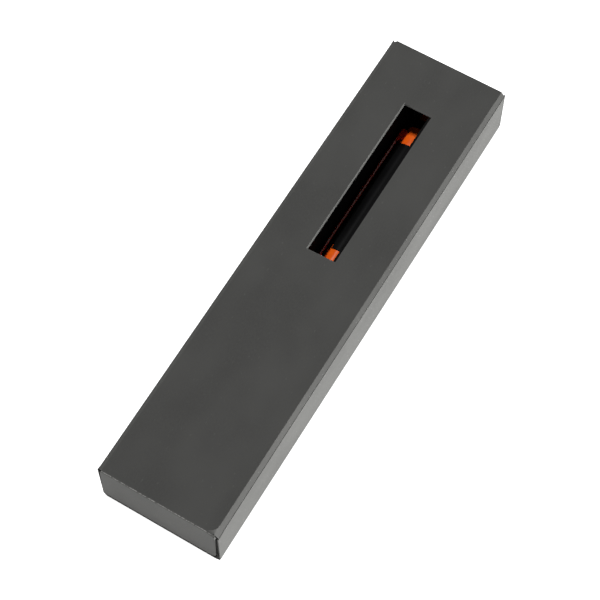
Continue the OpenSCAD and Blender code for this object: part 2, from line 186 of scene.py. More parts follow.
class PenSizes(bpy.types.PropertyGroup):
    """Sizes of the pen"""

    segments: count("Segments", "Sides of a turned piece", 96, 24)
    radius: distance("Barrel radius", "Outside radius of the barrel", BARREL_RADIUS / MM)
    wall: distance("Barrel wall", "Wall of the barrel", 0.8)
    band_radius: distance("Band radius", "Radius of the coloured band and collar", 3.75)
    band_bore: distance("Band bore", "Bore of the centre band", 2.2)
    spigot_fit: distance("Spigot fit", "Gap between a spigot and the barrel's bore", 0.05)
    spigot: distance("Spigot", "Length of a spigot", 4)
    edge_break: distance("Edge break", "Softening of the turned edges", 0.12)
    nose_power: strength("Nose swell", "Power of the nose cone's swell", 0.75)
    nose_tip: distance("Nose tip", "Radius of the nose cone at its tip", 1.3)
    tip_bore: distance("Tip bore", "Bore at the tip of the nose cone", 0.75)
    tip_land: distance("Tip land", "Length of the bore at the tip", 3.5)
    neck_bore: distance("Neck bore", "Bore of the nose cone behind its tip", 1.35)
    spring_seat: distance("Spring seat", "Place of the spring's seat behind the tip", 8)
    spring_bore: distance("Spring bore", "Bore of the nose cone at the spring", 2.15)
    spring_wire: distance("Spring wire", "Radius of the spring's wire", 0.25)
    spring_turns: count("Spring turns", "Turns of the spring", 7)
    groove_first: distance("First groove", "Place of the first groove on the grip", 5)
    groove_pitch: distance("Groove pitch", "Distance between the grooves of the grip", 3)
    groove_width: distance("Groove width", "Width of a groove of the grip", 1)
    groove_depth: distance("Groove depth", "Depth of a groove of the grip", 0.3)
    groove_count: count("Grooves", "Number of grooves on the grip", 7, 0)
    key_width: distance("Key width", "Width of the centre band's key", 0.8)
    key_length: distance("Key length", "Length of the centre band's key", 2)
    key_fit: distance("Key fit", "Room for the key in its notch", 0.1)
    key_angle: angle("Key angle", "Place of the key, to the left of the pen's top", 42)
    button_radius: distance("Button radius", "Radius of the push button", 2.6)
    button_fit: distance("Button fit", "Gap around the push button", 0.06)
    button_dome: distance("Button dome", "Height of the push button's dome", 1)
    button_travel: distance("Button travel", "Travel of the push button and the refill", 4)
    cap_crown: distance("Cap crown", "Rounding of the end cap", 0.5)
    flange_fit: distance("Flange fit", "Gap behind the push button's flange", 0.1)
    flange_radius: distance("Flange radius", "Radius of the push button's flange", 3.05)
    flange_length: distance("Flange length", "Length of the push button's flange", 2.2)
    clip_angle: angle("Clip angle", "Angle of the clip above the horizontal, on the left", 25)
    clip_width: distance("Clip width", "Width of the clip", 2.6)
    clip_thickness: distance("Clip thickness", "Thickness of the clip's arm", 0.7)
    clip_gap: distance("Clip gap", "Gap between the clip's arm and the barrel", 0.9)
    clip_foot: distance("Clip foot", "Length of the clip's foot", 3.9)
    clip_sink: distance("Clip sink", "Depth of the clip's foot in the collar", 0.55)
    clip_fit: distance("Clip fit", "Gap around the clip's foot in the collar", 0.12)
    clip_pad: distance("Clip pad", "Length of the pad at the clip's free end", 3)
    clip_pad_lift: distance("Clip pad lift", "Height of the pad above the band", 0.25)
    clip_turn: distance("Clip turn", "Cut-off corners of the clip", 0.5)
    clip_break: distance("Clip break", "Softening of the clip's edges", 0.15)


class FinishColours(bpy.types.PropertyGroup):
    """Colours of the finishes"""

    board: colour("Board", "Charcoal board", (0.0522, 0.0522, 0.0499))
    fleck: colour("Worn crease", "Fibres that show where a crease is worn", (0.3, 0.298, 0.285))
    card: colour("Tray card", "Black card of the tray", (0.005, 0.005, 0.0052))
    barrel: colour("Barrel", "Satin black of the barrel", (0.004, 0.004, 0.0042))
    orange: colour("Lacquer", "Orange lacquer", (0.97, 0.14, 0.009))
    # Painted shade: the clip's colour is the orange lacquer made darker and redder, standing in for the
    # shade the clip lies in inside the trough
    clip: colour("Clip", "Deeper lacquer of the clip", (0.5, 0.04, 0.02))
    plastic: colour("Plastic", "White plastic of the refill and the cam", (0.75, 0.75, 0.72))
    brass: colour("Brass", "Brass of the refill's tip", (0.7, 0.55, 0.25))
    steel: colour("Steel", "Steel of the return spring", (0.55, 0.56, 0.57))


class StageSettings(bpy.types.PropertyGroup):
    """Floor, light and camera"""

    floor_size: distance("Floor", "Side of the floor", 8000)
    floor_drop: distance("Floor drop", "Gap between the floor and the carton", 0.1)
    floor_shade: colour("Floor colour", "Pale floor", (0.82, 0.82, 0.82))
    floor_glow: strength("Floor brightness", "Share of white that the camera sees on the floor", 0.9)
    ambient: strength("Ambient", "Light from all around", 0.05)
    key_power: light_power("Key", "Key light, low on the right", 30)
    front_power: light_power("Front", "Soft light from the front", 10.3)
    over_power: light_power("Overhead", "Soft light from above", 6.2)
    focus: point("Aim", "Point that the camera looks at", (-0.672, -5.664, 10))
    camera_distance: distance("Camera distance", "Distance of the camera from its aim", 579.2)
    azimuth: angle("Camera azimuth", "Turn of the camera to the right of the front end", 31.08)
    elevation: angle("Camera elevation", "Height of the camera above the horizon", 63.52)
    roll: angle("Camera roll", "Roll of the camera about its own axis", -0.247)
    lens: camera_length("Lens", "Focal length of the camera", 113.52)
    sensor: camera_length("Sensor", "Width of its sensor", 36)


class CartonSettings(bpy.types.PropertyGroup):
    """All settings of the pen carton"""

    board: PointerProperty(type=BoardSizes)
    tray: PointerProperty(type=TraySizes)
    pen: PointerProperty(type=PenSizes)
    colours: PointerProperty(type=FinishColours)
    stage: PointerProperty(type=StageSettings)


# Modelling by hand

def activate(piece):
    """Makes a piece the active one and the only one that is selected."""
    bpy.ops.object.select_all(action="DESELECT")
    piece.select_set(True)
    bpy.context.view_layer.objects.active = piece


def set_mode(mode):
    bpy.ops.object.mode_set(mode=mode)


def apply_transform():
    bpy.ops.object.transform_apply(location=True, rotation=True, scale=True)


def new_piece(name):
    """The object that was just added, named with its mesh."""
    piece = bpy.context.object
    piece.name = name
    piece.data.name = name
    return piece


def add_sheet(name, centre, size, turn=(0, 0, 0)):
    """Adds a flat sheet at its size and place, and opens it in edit mode."""
    bpy.ops.object.select_all(action="DESELECT")
    bpy.ops.mesh.primitive_plane_add(size=1, location=centre, rotation=turn)
    piece = new_piece(name)
    piece.scale = (*size, 1)
    apply_transform()
    set_mode("EDIT")
    bpy.ops.mesh.select_mode(type="VERT")
    return piece


def cut(axis, places):
    """Cuts the whole sheet across an axis at the given places."""
    for place in places:
        pick_all()
        bpy.ops.mesh.bisect(plane_co=AXES[axis] * place, plane_no=AXES[axis])


def pick_all():
    bpy.ops.mesh.select_all(action="SELECT")


def pick(piece, kind, test):
    """Selects the vertices, edges or faces whose middle passes the test."""
    bpy.ops.mesh.select_mode(type={"verts": "VERT", "edges": "EDGE", "faces": "FACE"}[kind])
    bpy.ops.mesh.select_all(action="DESELECT")
    mesh = bmesh.from_edit_mesh(piece.data)
    found = 0
    for part in getattr(mesh, kind):
        corners = [part] if kind == "verts" else part.verts
        middle = sum((corner.co for corner in corners), Vector()) / len(corners)
        if test(middle):
            part.select_set(True)
            found += 1
    bmesh.update_edit_mesh(piece.data)
    if not found:
        raise RuntimeError(f"{piece.name}: nothing to select among its {kind}")


def move(offset):
    bpy.ops.transform.translate(value=offset)


def pull_edges(offset):
    bpy.ops.mesh.extrude_edges_move(TRANSFORM_OT_translate={"value": offset})


def pull_faces(offset):
    bpy.ops.mesh.extrude_region_move(TRANSFORM_OT_translate={"value": offset})


def recalculate():
    pick_all()
    bpy.ops.mesh.remove_doubles(threshold=NEAR)
    pick_all()
    bpy.ops.mesh.normals_make_consistent(inside=False)


def modify(piece, kind, **values):
    """Adds a modifier with the given values and applies it."""
    activate(piece)
    bpy.ops.object.modifier_add(type=kind)
    modifier = piece.modifiers[-1]
    for name, value in values.items():
        setattr(modifier, name, value)
    bpy.ops.object.modifier_apply(modifier=modifier.name)


def soften(piece, width, sharp, segments=SOFT_SEGMENTS):
    """Softens the edges of a piece that are sharper than an angle."""
    modify(piece, "BEVEL", width=width, segments=segments, limit_method="ANGLE", angle_limit=sharp)


def thicken(piece, thickness, cut_break, even=True):
    """Gives a folded sheet its thickness towards the inside, and softens its cut edges."""
    set_mode("OBJECT")
    modify(piece, "SOLIDIFY", thickness=thickness, offset=-1, use_even_offset=even)
    soften(piece, cut_break, SHARP)


def mirrored(piece, name, axis):
    """A copy of a piece on the other side of the carton, with a mesh of its own."""
    activate(piece)
    bpy.ops.object.duplicate()
    copy = new_piece(name)
    copy.scale["xyz".index(axis)] = -1
    apply_transform()
    set_mode("EDIT")
    pick_all()
    bpy.ops.mesh.normals_make_consistent(inside=False)
    set_mode("OBJECT")
    return copy


def complete(piece, node, finish, smooth=SMOOTH):
    """Shades a finished piece, gives it its finish and lets it stand for its node."""
    mesh = bmesh.new()
    mesh.from_mesh(piece.data)
    open_edges = sum(not edge.is_manifold for edge in mesh.edges)
    mesh.free()
    if open_edges:
        raise RuntimeError(f"{piece.name} has {open_edges} open edges")
    activate(piece)
    bpy.ops.object.shade_smooth_by_angle(angle=math.radians(smooth))
    modify(piece, "WEIGHTED_NORMAL", keep_sharp=True)
    piece.data.materials.clear()
    piece.data.materials.append(bpy.data.materials[finish])
    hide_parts(node)


def complete_board(piece, node, smooth=SMOOTH):
    complete(piece, node, "charcoal_board", smooth)


def wear(piece, amount):
    """Marks how worn the board is at each vertex, from 0 to 1. Unmarked board isn't worn."""
    marks = piece.data.attributes.new("crease_wear", "FLOAT", "POINT")
    marks.data.foreach_set("value", [amount(vertex.co) for vertex in piece.data.vertices])


def arc_moves(radius, first, last, steps):
    """The moves along an arc in the plane of Y and Z, from one angle to another in degrees."""
    angles = [math.radians(first + (last - first) * i / steps) for i in range(steps + 1)]
    places = [Vector((0, math.cos(a), math.sin(a))) * radius for a in angles]
    return [after - before for before, after in zip(places, places[1:])]


# Carton

def flat_panel(name, node, facing, sizes):
    """The flat middle of a long panel, between the folds of its long edges."""
    low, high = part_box(node)
    middle, extent = (low + high) / 2, high - low
    fold = extent.x / 2 - sizes.fold_run
    middle.z = high.z if facing > 0 else low.z
    piece = add_sheet(name, middle, (2 * fold, extent.y))
    if facing < 0:
        pick_all()
        bpy.ops.mesh.flip_normals()
    return piece, fold


def cut_window(piece, sizes):
    """Cuts the window, and presses its left edge down as the die did."""
    left, front = sizes.window_left, sizes.window_front
    right, rear = left + sizes.window_width, front + sizes.window_length
    cut("x", (left - sizes.press_run, left, right))
    cut("y", (front - sizes.press_run, front, rear, rear + sizes.press_run))
    pick(piece, "faces", lambda p: left < p.x < right and front < p.y < rear)
    bpy.ops.mesh.delete(type="FACE")
    pick(piece, "verts", lambda p: abs(p.x - left) < NEAR and front - NEAR < p.y < rear + NEAR)
    move((0, 0, -sizes.press_drop))


def round_corner(piece, fold, sizes):
    """Rounds off the flat top at its front right corner, and lets the corner itself sink."""
    corner = Vector((fold, TOP_LOW.y, TOP_HIGH.z))
    inner = corner + Vector((-sizes.corner_radius, sizes.corner_radius, 0))
    pick(piece, "verts", lambda p: (p - corner).length < NEAR)
    bpy.ops.mesh.bevel(offset=sizes.corner_radius, segments=TOP_CORNER_SEGMENTS, affect="VERTICES")
    pick(piece, "edges", lambda p: inner.x < p.x < corner.x - NEAR and corner.y + NEAR < p.y < inner.y)
    pull_edges((0, 0, 0))
    bpy.ops.mesh.select_mode(type="VERT")
    bpy.ops.mesh.merge(type="CENTER")
    tip = next(vertex.co for vertex in bmesh.from_edit_mesh(piece.data).verts if vertex.select)
    move(corner - Vector((0, 0, sizes.corner_dip)) - tip)


def fold_long_edges(piece, fold, facing, sizes):
    """Pulls the sloping folds out of a panel's long edges, each with its upright lip."""
    for side in (-1, 1):
        pick(piece, "edges", lambda p: p.x * side > fold - NEAR)
        pull_edges((side * (sizes.fold_run - sizes.ledge), 0, -facing * sizes.fold_drop))
        pull_edges((0, 0, -facing * sizes.fold_lip))


def soften_folds(piece, fold, sizes):
    pick(piece, "edges", lambda p: abs(abs(p.x) - fold) < NEAR)
    bpy.ops.mesh.bevel(offset=sizes.fold_roll, segments=SOFT_SEGMENTS, affect="EDGES")


def right_rim_drop(y, sizes):
    """How far the right sloping fold hangs lower towards the front end."""
    dip = min(1, max(0, (TOP_LOW.y + sizes.corner_radius - y) / sizes.corner_radius))
    sag = min(1, max(0, (TOP_LOW.y + sizes.sag_reach - y) / sizes.sag_reach))
    return sizes.corner_dip * dip + sizes.sag * sag


class PENCARTON_OT_top_panel(bpy.types.Operator):
    """Folds the top panel and cuts its window"""

    bl_idname = "pen_carton.top_panel"
    bl_label = "Top Panel"

    def execute(self, context):
        sizes = context.scene.pen_carton.board
        piece, fold = flat_panel("top_board", "top_panel", 1, sizes)
        cut_window(piece, sizes)
        cut("y", (TOP_LOW.y + sizes.sag_reach,))
        round_corner(piece, fold, sizes)
        fold_long_edges(piece, fold, 1, sizes)
        self.sag_right_fold(piece, fold, sizes)
        pick(piece, "verts", lambda p: p.x < -fold - NEAR and p.y > TOP_HIGH.y - NEAR)
        move((0, -sizes.top_mitre, 0))
        soften_folds(piece, fold, sizes)
        thicken(piece, sizes.thickness, sizes.cut_break, even=False)
        complete_board(piece, "top_panel", smooth=TOP_SMOOTH)
        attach(piece, "case")
        return {"FINISHED"}

    def sag_right_fold(self, piece, fold, sizes):
        pick(piece, "verts", lambda p: p.x < fold + NEAR)
        bpy.ops.mesh.hide(unselected=False)
        pick(piece, "verts", lambda p: p.x > fold + NEAR and p.y < TOP_LOW.y + NEAR)
        bpy.ops.transform.translate(
            value=(0, 0, -sizes.sag),
            use_proportional_edit=True,
            proportional_edit_falloff="LINEAR",
            proportional_size=sizes.sag_reach,
        )
        bpy.ops.mesh.reveal(select=False)


class PENCARTON_OT_bottom_panel(bpy.types.Operator):
    """Folds the bottom panel"""

    bl_idname = "pen_carton.bottom_panel"
    bl_label = "Bottom Panel"

    def execute(self, context):
        sizes = context.scene.pen_carton.board
        piece, fold = flat_panel("bottom_board", "bottom_panel", -1, sizes)
        fold_long_edges(piece, fold, -1, sizes)
        for end in (-1, 1):
            for side in (-1, 1):
                pick(piece, "verts", lambda p: p.x * side > fold + NEAR and p.y * end > 0)
                move((0, 0 if end < 0 < side else -end * sizes.bottom_mitre, 0))
        soften_folds(piece, fold, sizes)
        thicken(piece, sizes.thickness, sizes.cut_break)
        complete_board(piece, "bottom_panel")
        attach(piece, "case")
        return {"FINISHED"}


class PENCARTON_OT_side_panels(bpy.types.Operator):
    """Stands up the two side panels under the folds of the top panel"""

    bl_idname = "pen_carton.side_panels"
    bl_label = "Side Panels"

    def execute(self, context):
        sizes = context.scene.pen_carton.board
        set_in = sizes.fold_drop + sizes.fold_lip + sizes.groove
        height = TOP_HIGH.z - 2 * set_in
        centre = (WALL_HIGH.x, (WALL_LOW.y + WALL_HIGH.y) / 2, TOP_HIGH.z / 2)
        across = (height, WALL_HIGH.y - WALL_LOW.y)
        right = add_sheet("right_wall_board", centre, across, FACE_RIGHT)
        bends = (TOP_LOW.y + sizes.corner_radius, TOP_LOW.y + sizes.sag_reach)
        cut("y", bends)
        for place in (WALL_LOW.y, *bends):
            pick(right, "verts", lambda p: p.z > centre[2] and abs(p.y - place) < NEAR)
            move((0, 0, -right_rim_drop(place, sizes)))
        thicken(right, sizes.thickness, sizes.cut_break)
        centre = (-WALL_HIGH.x, *centre[1:])
        left = add_sheet("left_wall_board", centre, across, FACE_LEFT)
        thicken(left, sizes.thickness, sizes.cut_break)
        for piece, node in ((right, "right_side_panel"), (left, "left_side_panel")):
            complete_board(piece, node)
            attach(piece, "case")
        return {"FINISHED"}


class PENCARTON_OT_glue_flap(bpy.types.Operator):
    """Cuts the glue flap behind the right side panel"""

    bl_idname = "pen_carton.glue_flap"
    bl_label = "Glue Flap"

    def execute(self, context):
        sizes = context.scene.pen_carton.board
        low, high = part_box("glue_flap")
        centre = (low + high) / 2
        centre.x = low.x
        piece = add_sheet("glue_strip", centre, (high.z - low.z, high.y - low.y), FACE_LEFT)
        for end in (-1, 1):
            pick(piece, "verts", lambda p: p.z < low.z + NEAR and p.y * end > 0)
            move((0, -end * sizes.glue_slope, 0))
        thicken(piece, sizes.thickness, sizes.cut_break)
        complete_board(piece, "glue_flap")
        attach(piece, "case")
        return {"FINISHED"}


def end_flap(name, sizes, sunk):
    """An end flap with the rolled crease that joins it to the top panel."""
    low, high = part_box("front_end_flap")
    knee = high.z - sizes.crease_roll
    foot = low.z + sizes.crease_roll
    centre = ((low.x + high.x) / 2, low.y, (knee + foot) / 2)
    piece = add_sheet(name, centre, (high.x - low.x, knee - foot), FACE_FRONT)
    shoulder = high.z - sizes.flap_shoulder
    cut("z", (shoulder,))
    for side in (-1, 1):
        narrow = sizes.flap_narrow / 2 if sunk and side > 0 else sizes.flap_narrow
        pick(piece, "verts", lambda p: p.z > knee - NEAR and p.x * side > 0)
        move((-side * narrow, 0, 0))
    pick(piece, "verts", lambda p: p.z < foot + NEAR)
    bpy.ops.mesh.bevel(offset=sizes.flap_corner, segments=CORNER_SEGMENTS, affect="VERTICES")
    pick(piece, "verts", lambda p: p.z < foot + sizes.flap_corner + NEAR)
    move((-sizes.flap_skew, 0, 0))
    pick(piece, "edges", lambda p: p.z > knee - NEAR)
    for step in arc_moves(sizes.crease_roll, 180, 90, ROLL_STEPS):
        pull_edges(step)
    if sunk:
        corner = high.x - sizes.flap_narrow / 2
        steep = (sizes.fold_drop + sizes.sag) / (sizes.fold_run - sizes.ledge)
        cut("x", (corner - sizes.corner_radius,))
        pick(piece, "verts", lambda p: p.z > shoulder - NEAR and p.x > corner - NEAR)
        move((0, 0, -sizes.corner_dip - steep * sizes.flap_narrow / 2))
    thicken(piece, sizes.thickness, sizes.cut_break)
    return piece


class PENCARTON_OT_end_flaps(bpy.types.Operator):
    """Folds the two end flaps from the top panel's ends"""

    bl_idname = "pen_carton.end_flaps"
    bl_label = "End Flaps"

    def execute(self, context):
        sizes = context.scene.pen_carton.board
        front = end_flap("front_flap_board", sizes, True)
        rear = mirrored(end_flap("rear_flap_draft", sizes, False), "rear_flap_board", "y")
        bpy.data.objects.remove(bpy.data.objects["rear_flap_draft"])
        roll = sizes.crease_roll
        for piece, body, end in ((front, "front", -1), (rear, "rear", 1)):
            low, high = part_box(f"{body}_end_flap")
            face = low.y if end < 0 else high.y
            complete_board(piece, f"{body}_end_flap")
            wear(piece, lambda p: self.on_crease(p, abs(face) - roll, high.z - roll, roll))
            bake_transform(piece)
        return {"FINISHED"}

    def on_crease(self, p, centre_y, centre_z, roll):
        """1 on the middle of the rolled crease's outside, and 0 elsewhere."""
        out, up = abs(p.y) - centre_y, p.z - centre_z
        middle, outside = 0.55 * roll, 0.7 * roll
        return 1 if min(out, up) > middle and math.hypot(out, up) > outside else 0


def tuck_tongue(name, sizes):
    """A tuck tongue with the rolled fold at the foot of its end flap."""
    low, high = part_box("front_end_flap")
    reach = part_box("front_tuck_tongue")[1].y - high.y
    half = (high.x - low.x) / 2 - sizes.flap_corner
    start = low.z + sizes.crease_roll
    centre = (-sizes.flap_skew, low.y, start + sizes.tongue_start / 2)
    piece = add_sheet(name, centre, (2 * half, sizes.tongue_start), FACE_FRONT)
    pick(piece, "edges", lambda p: p.z < start + NEAR)
    tilt = math.degrees(sizes.tongue_tilt)
    for step in arc_moves(sizes.crease_roll, 180, 270 + tilt, ROLL_STEPS):
        pull_edges(step)
    along = Vector((0, math.cos(sizes.tongue_tilt), math.sin(sizes.tongue_tilt)))
    pull_edges(along * sizes.thickness)
    pull_edges(along * (reach - sizes.thickness))
    free = low.y + reach
    pick(piece, "verts", lambda p: p.y > free)
    bpy.ops.mesh.bevel(offset=sizes.tongue_corner, segments=CORNER_SEGMENTS, affect="VERTICES")
    thicken(piece, sizes.thickness, sizes.cut_break)
    return piece


class PENCARTON_OT_tuck_tongues(bpy.types.Operator):
    """Folds the two tuck tongues in at the feet of the end flaps"""

    bl_idname = "pen_carton.tuck_tongues"
    bl_label = "Tuck Tongues"

    def execute(self, context):
        sizes = context.scene.pen_carton.board
        front = tuck_tongue("front_tongue_board", sizes)
        rear = mirrored(front, "rear_tongue_board", "y")
        roll = sizes.crease_roll
        for piece, body, end in ((front, "front", -1), (rear, "rear", 1)):
            low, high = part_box(f"{body}_end_flap")
            face = low.y if end < 0 else high.y
            foot = low.z
            complete_board(piece, f"{body}_tuck_tongue")
            under = foot + roll / 2
            wear(piece, lambda p: FOOT_WEAR if p.z < under and abs(p.y) > abs(face) - roll else 0)
            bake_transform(piece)
        return {"FINISHED"}


def dust_flap(name, sizes, sunk):
    """A dust flap with the folded edge that joins it to the right side panel."""
    low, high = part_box("front_right_dust_flap")
    inner = high.x - sizes.dust_fold
    lead = low.y - sizes.dust_lead
    wall = WALL_LOW.y
    foot = sizes.fold_drop + sizes.fold_lip + sizes.groove
    head = TOP_HIGH.z - sizes.fold_drop - sizes.fold_lip - (right_rim_drop(lead, sizes) if sunk else 0)
    centre = ((inner + high.x) / 2, (lead + wall) / 2, foot)
    piece = add_sheet(name, centre, (high.x - inner, wall - lead))
    pick_all()
    pull_faces((0, 0, head - foot))
    neck = high.y - sizes.thickness / 4
    cut("y", (neck, high.y))
    cut("z", (low.z, high.z))
    recalculate()
    inside = (low + high) / 2
    pick(piece, "faces", lambda p: abs(p.x - inner) < NEAR and neck < p.y < high.y and low.z < p.z < high.z)
    shoulder = high.x - sizes.dust_shoulder
    pull_faces((-sizes.dust_neck, 0, 0))
    step = inner - 1.5 * sizes.dust_neck
    pull_faces((-sizes.dust_neck / 2, 0, 0))
    pick(piece, "verts", lambda p: abs(p.x - step) < NEAR and p.y < neck + NEAR)
    move((0, low.y - neck, 0))
    pick(piece, "faces", lambda p: abs(p.x - step) < NEAR)
    pull_faces((shoulder - step, 0, 0))
    pull_faces((low.x - shoulder, 0, 0))
    reach = high.x - low.x - sizes.thickness / 2
    for edge, slope in ((1, -sizes.dust_top_slope), (-1, sizes.dust_low_slope)):
        for x in (shoulder, low.x):
            run = (inner - x) if edge > 0 else reach * (shoulder - x) / (shoulder - low.x)
            base = 0 if edge > 0 else sizes.dust_clear - low.z
            pick(piece, "verts", lambda p: abs(p.x - x) < NEAR and (p.z - inside.z) * edge > 0)
            move((0, 0, base + run * math.tan(slope)))
    rim = (inner, high.x)
    pick(piece, "edges", lambda p: p.y < lead + NEAR and min(abs(p.x - x) for x in rim) < NEAR)
    rim_roll = 0.4 * sizes.dust_fold
    bpy.ops.mesh.bevel(offset=rim_roll, segments=FOLD_SEGMENTS, affect="EDGES")
    recalculate()
    set_mode("OBJECT")
    return piece


class PENCARTON_OT_dust_flaps(bpy.types.Operator):
    """Folds the four dust flaps in behind the end flaps"""

    bl_idname = "pen_carton.dust_flaps"
    bl_label = "Dust Flaps"

    def execute(self, context):
        sizes = context.scene.pen_carton.board
        draft = dust_flap("dust_draft", sizes, False)
        pieces = {
            ("front", "right"): dust_flap("front_right_dust_board", sizes, True),
            ("front", "left"): mirrored(draft, "front_left_dust_board", "x"),
            ("rear", "right"): mirrored(draft, "rear_right_dust_board", "y"),
        }
        pieces["rear", "left"] = mirrored(pieces["front", "left"], "rear_left_dust_board", "y")
        bpy.data.objects.remove(draft)
        for (end, side), piece in pieces.items():
            complete_board(piece, f"{end}_{side}_dust_flap")
            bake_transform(piece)
        return {"FINISHED"}


# Tray

class PENCARTON_OT_tray(bpy.types.Operator):
    """Folds the tray: two decks, two legs and the trough under the window"""

    bl_idname = "pen_carton.tray"
    bl_label = "Tray"

    def execute(self, context):
        sizes = context.scene.pen_carton.tray
        low, high = TRAY_LOW, TRAY_HIGH
        deep = high.z - low.z - sizes.floor_lift
        centre = (low.x, (low.y + high.y) / 2, (low.z + high.z) / 2)
        piece = add_sheet("tray_folded_card", centre, (high.z - low.z, high.y - low.y), FACE_LEFT)
        pick(piece, "edges", lambda p: p.z > high.z - NEAR)
        for across, up in (
            (sizes.trough_left - low.x, 0),
            (0, -deep),
            (sizes.trough_right - sizes.trough_left, 0),
            (-sizes.trough_lean, deep),
            (high.x - sizes.trough_right + sizes.trough_lean, 0),
            (0, low.z - high.z),
        ):
            pull_edges((across, 0, up))
        pick(piece, "edges", lambda p: abs(p.y - centre[1]) < NEAR and p.z > low.z + NEAR)
        bpy.ops.mesh.bevel(offset=sizes.fold_roll, segments=FOLD_SEGMENTS, affect="EDGES")
        thicken(piece, sizes.card, context.scene.pen_carton.board.cut_break)
        complete(piece, "pen_tray", "black_card")
        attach(piece, "case")
        return {"FINISHED"}


# Pen

def pen_axis():
    return Vector(((BARREL_LOW.x + BARREL_HIGH.x) / 2, 0, (BARREL_LOW.z + BARREL_HIGH.z) / 2))


def draw_outline(name, start, places, closed):
    """Draws a chain of edges from one vertex, and joins its ends if it is closed."""
    piece = add_sheet(name, start, (MM, MM))
    pick_all()
    bpy.ops.mesh.merge(type="CENTER")
    for before, after in zip([start, *places], places):
        bpy.ops.mesh.extrude_vertices_move(TRANSFORM_OT_translate={"value": after - before})
    if closed:
        mesh = bmesh.from_edit_mesh(piece.data)
        bpy.ops.mesh.select_all(action="DESELECT")
        for vertex in mesh.verts:
            vertex.select_set(len(vertex.link_edges) == 1)
        bmesh.update_edit_mesh(piece.data)
        bpy.ops.mesh.edge_face_add()
    return piece


def turned(name, profile, sizes):
    """Spins a profile of radius and station about the pen's axis."""
    axis = pen_axis()
    places = [axis + Vector((radius, station, 0)) for radius, station in profile]
    hollow = all(radius > NEAR for radius, station in profile)
    piece = draw_outline(name, places[0], places[1:], hollow)
    pick_all()
    bpy.ops.mesh.spin(steps=sizes.segments, angle=2 * math.pi, center=axis, axis=AXES["y"])
    recalculate()
    set_mode("OBJECT")
    return piece


def carve(piece, name, centre, size, turn):
    """Cuts a block out of a piece. The block is turned about the pen's axis."""
    bpy.ops.object.select_all(action="DESELECT")
    bpy.ops.mesh.primitive_cube_add(size=1, location=centre)
    block = bpy.context.object
    block.name = name
    block.scale = size
    apply_transform()
    turn_about_pen(block, turn)
    modify(piece, "BOOLEAN", object=block, operation="DIFFERENCE", solver="EXACT")
    bpy.data.objects.remove(block)


def turn_about_pen(piece, turn):
    """Turns a piece that stands on top of the pen to the left about the pen's axis."""
    axis = pen_axis()
    there, back = Matrix.Translation(axis), Matrix.Translation(-axis)
    piece.matrix_world = there @ Matrix.Rotation(-turn, 4, "Y") @ back
    activate(piece)
    apply_transform()


def pen_layout(sizes):
    """Places along the pen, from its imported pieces, and the radii that its pieces share."""
    grip_low, grip_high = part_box("pen_grip_barrel")
    cap_low, cap_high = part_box("pen_end_cap")
    bore = sizes.radius - sizes.wall
    return SimpleNamespace(
        tip=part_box("pen_nose_cone")[0].y,
        grip=grip_low.y,
        band=grip_high.y,
        upper=BARREL_LOW.y,
        collar=BARREL_HIGH.y,
        cap=cap_low.y,
        stub=(cap_low.y + cap_high.y) / 2,
        cap_end=cap_high.y,
        button_end=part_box("pen_push_button")[1].y,
        bore=bore,
        spigot=bore - sizes.spigot_fit,
        button_bore=sizes.button_radius + sizes.button_fit,
    )


def ring_profile(bore, start, low, high, end, sizes, at):
    """A coloured ring from low to high, with a spigot on each side of it."""
    outer = sizes.band_radius
    return [
        (bore, start),
        (at.spigot, start),
        (at.spigot, low),
        (outer, low),
        (outer, high),
        (at.spigot, high),
        (at.spigot, end),
        (bore, end),
    ]


class PENCARTON_OT_nose_cone(bpy.types.Operator):
    """Turns the orange nose cone"""

    bl_idname = "pen_carton.nose_cone"
    bl_label = "Nose Cone"

    def execute(self, context):
        sizes = context.scene.pen_carton.pen
        at = pen_layout(sizes)
        tip, grip = at.tip, at.grip
        steps = NOSE_STEPS
        swell = sizes.radius - sizes.nose_tip
        outside = [
            (sizes.nose_tip + swell * (i / steps) ** sizes.nose_power, tip + (grip - tip) * i / steps)
            for i in range(steps + 1)
        ]
        inside = [
            (at.spigot, grip),
            (at.spigot, grip + sizes.spigot),
            (sizes.spring_bore, grip + sizes.spigot),
            (sizes.spring_bore, tip + sizes.spring_seat),
            (sizes.neck_bore, tip + sizes.spring_seat),
            (sizes.neck_bore, tip + sizes.tip_land),
            (sizes.tip_bore, tip + sizes.tip_land),
            (sizes.tip_bore, tip),
        ]
        piece = turned("nose_cone_turned", outside + inside, sizes)
        soften(piece, sizes.edge_break, TURNED_SHARP)
        complete(piece, "pen_nose_cone", "gloss_orange")
        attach(piece, "pen")
        return {"FINISHED"}


